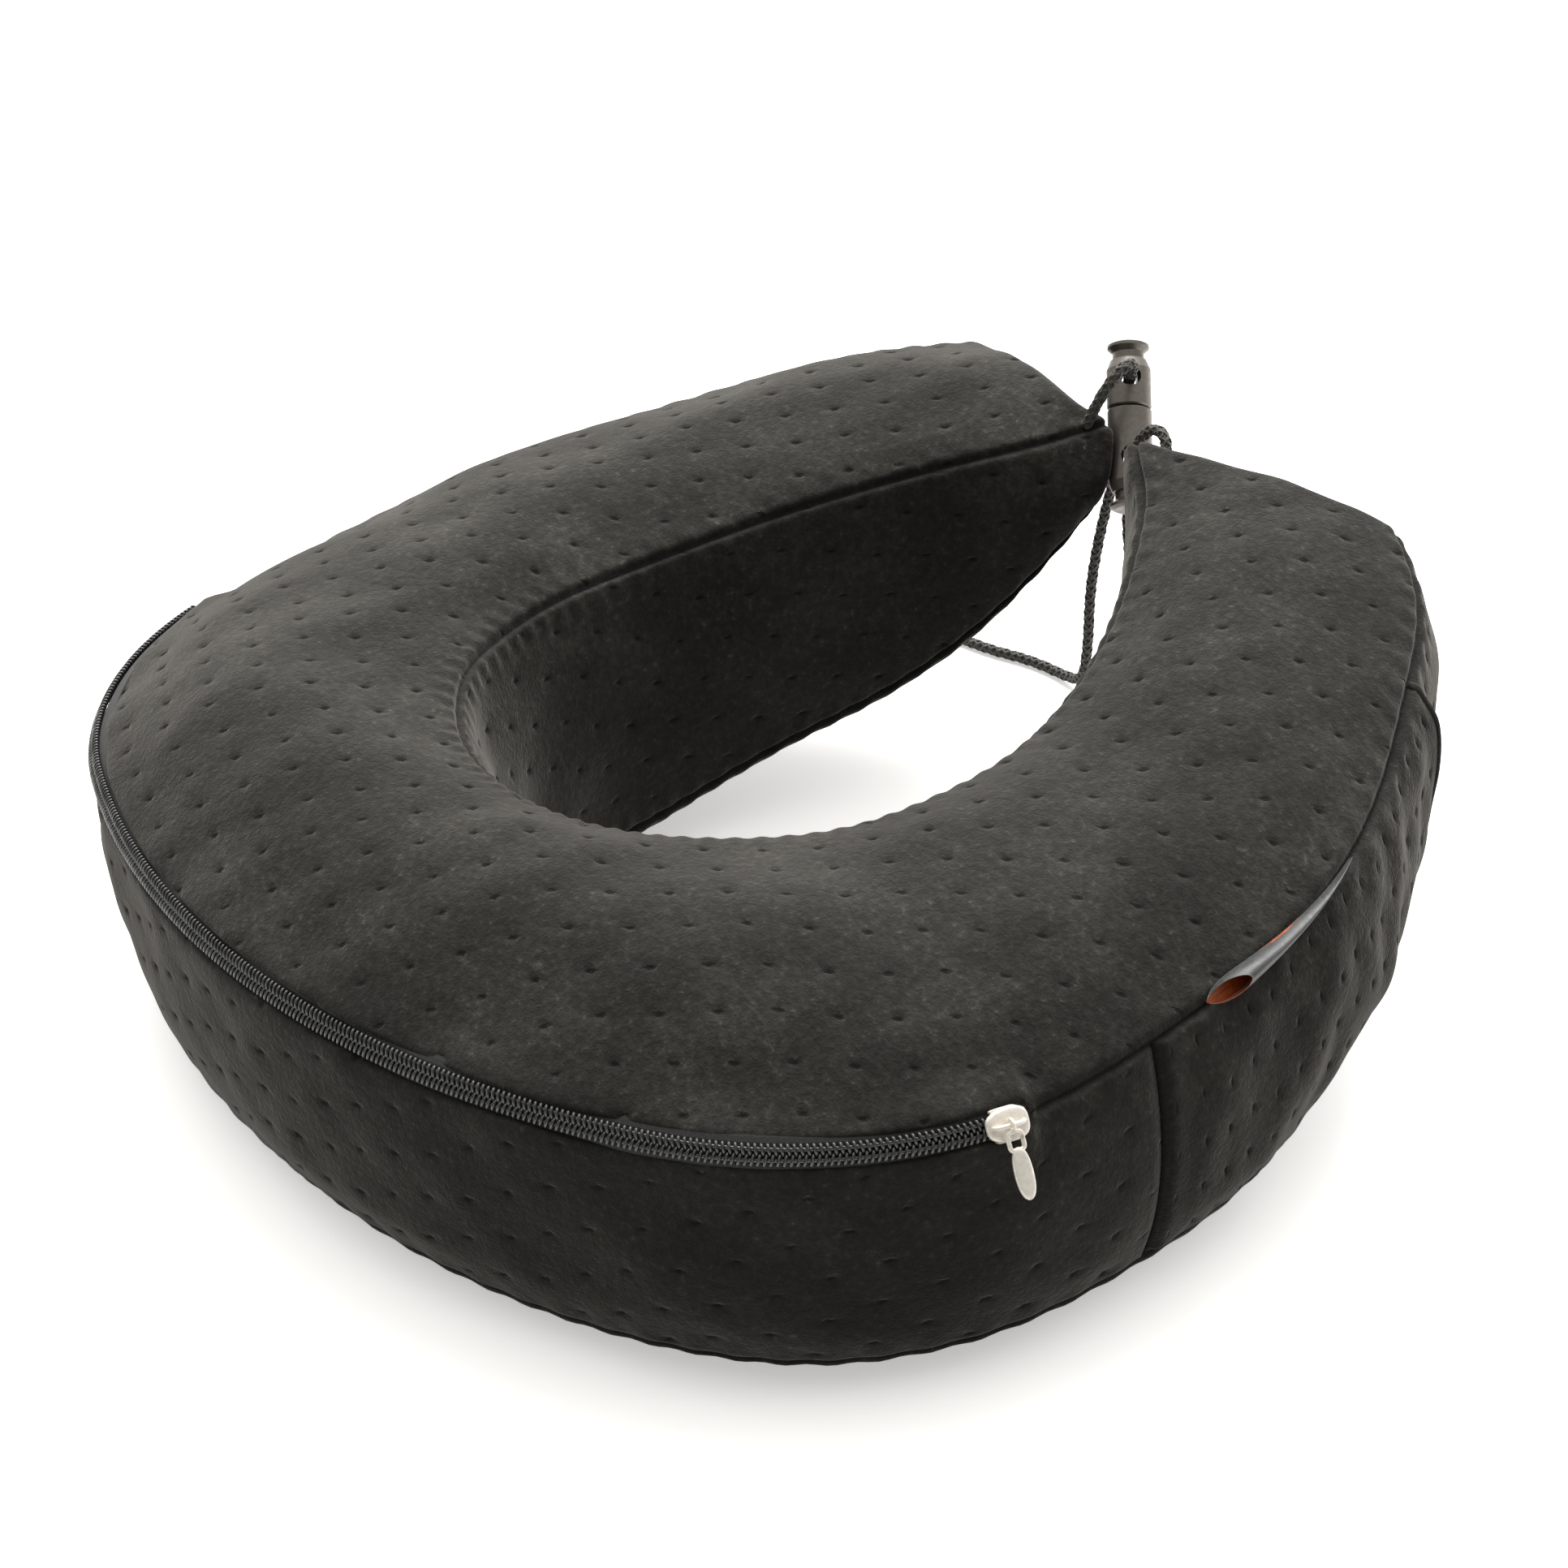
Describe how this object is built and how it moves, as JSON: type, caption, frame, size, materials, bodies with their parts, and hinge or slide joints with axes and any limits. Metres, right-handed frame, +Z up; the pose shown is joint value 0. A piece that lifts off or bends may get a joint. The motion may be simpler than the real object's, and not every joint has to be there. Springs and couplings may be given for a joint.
{
  "type": "neck pillow",
  "caption": "U-shaped memory foam travel neck pillow in a zipped, dimpled velour cover, with a side pocket and two clasped cord locks at its open front.",
  "frame": {"origin": "on the table, under the middle of the box round the pillow with its cord locks, free cords left out", "axes": "+Z up, +Y towards the nape (closed) end, -Y towards the open front, +X across"},
  "size_m": [0.316, 0.2979, 0.1135],
  "materials": {
    "memory_foam": "open cell slow-recovery foam",
    "liner_jersey": "thin white stretch jersey",
    "velour": "short black pile with pin-tucked dimples",
    "hem_tape": "turned velour hem",
    "label_satin": "woven satin, blank",
    "zip_tape": "woven polyester tape",
    "zip_coil": "nylon coil",
    "zip_metal": "nickel plated die casting",
    "lock_plastic": "gunmetal satin plastic",
    "spring_steel": "spring wire",
    "cord_braid": "round braided elastic cord"
  },
  "bodies": {
    "pillow": {"foam_core": "memory_foam", "foam_liner": "liner_jersey", "cover_top_panel": "velour", "cover_neck_panel": "velour", "cover_bottom_panel": "velour", "cover_nape_wall": "velour", "cover_left_wall": "velour", "cover_right_wall": "velour", "side_pocket": "velour", "pocket_hem": "hem_tape", "side_label": "label_satin", "zip_tape_upper": "zip_tape", "zip_tape_lower": "zip_tape", "zip_coil_upper": "zip_coil", "zip_coil_lower": "zip_coil", "zip_end_stops": "zip_metal", "lower_lock_barrel": "lock_plastic", "lower_lock_spring": "spring_steel", "cord_left_lead": "cord_braid", "cord_right": "cord_braid", "cord_right_knot": "cord_braid"},
    "upper_lock": {"upper_lock_barrel": "lock_plastic", "upper_lock_spring": "spring_steel", "cord_left_tail": "cord_braid", "cord_left_knot": "cord_braid"},
    "upper_button": {"upper_lock_button": "lock_plastic"},
    "lower_button": {"lower_lock_button": "lock_plastic"},
    "zip_slider": {"zip_slider": "zip_metal"},
    "zip_pull": {"zip_pull": "zip_metal"}
  },
  "joints": [
    {"name": "zip_travel", "type": "hinge", "parent": "pillow", "child": "zip_slider", "pos_m": [-0.06008, 0.0343, 0.064], "axis": [0, 0, -1], "range_deg": [0, 47]},
    {"name": "pull_swing", "type": "hinge", "parent": "zip_slider", "child": "zip_pull", "pos_m": [-0.15027, 0.06187, 0.06686], "axis": [0.2924, 0.9563, 0], "range_deg": [0, 160]},
    {"name": "clasp_release", "type": "slide", "parent": "pillow", "child": "upper_lock", "axis": [0.5052, -0.4782, 0.7183], "range_m": [0, 0.014]},
    {"name": "upper_button_press", "type": "slide", "parent": "upper_lock", "child": "upper_button", "axis": [-0.5052, 0.4782, -0.7183], "range_m": [0, 0.0018], "stiffness_N_per_m": 500, "springref_m": -0.003, "deforming": ["upper_lock_spring"]},
    {"name": "lower_button_press", "type": "slide", "parent": "pillow", "child": "lower_button", "axis": [0.5052, -0.4782, 0.7183], "range_m": [0, 0.0018], "stiffness_N_per_m": 500, "springref_m": -0.003, "deforming": ["lower_lock_spring"]}
  ]
}
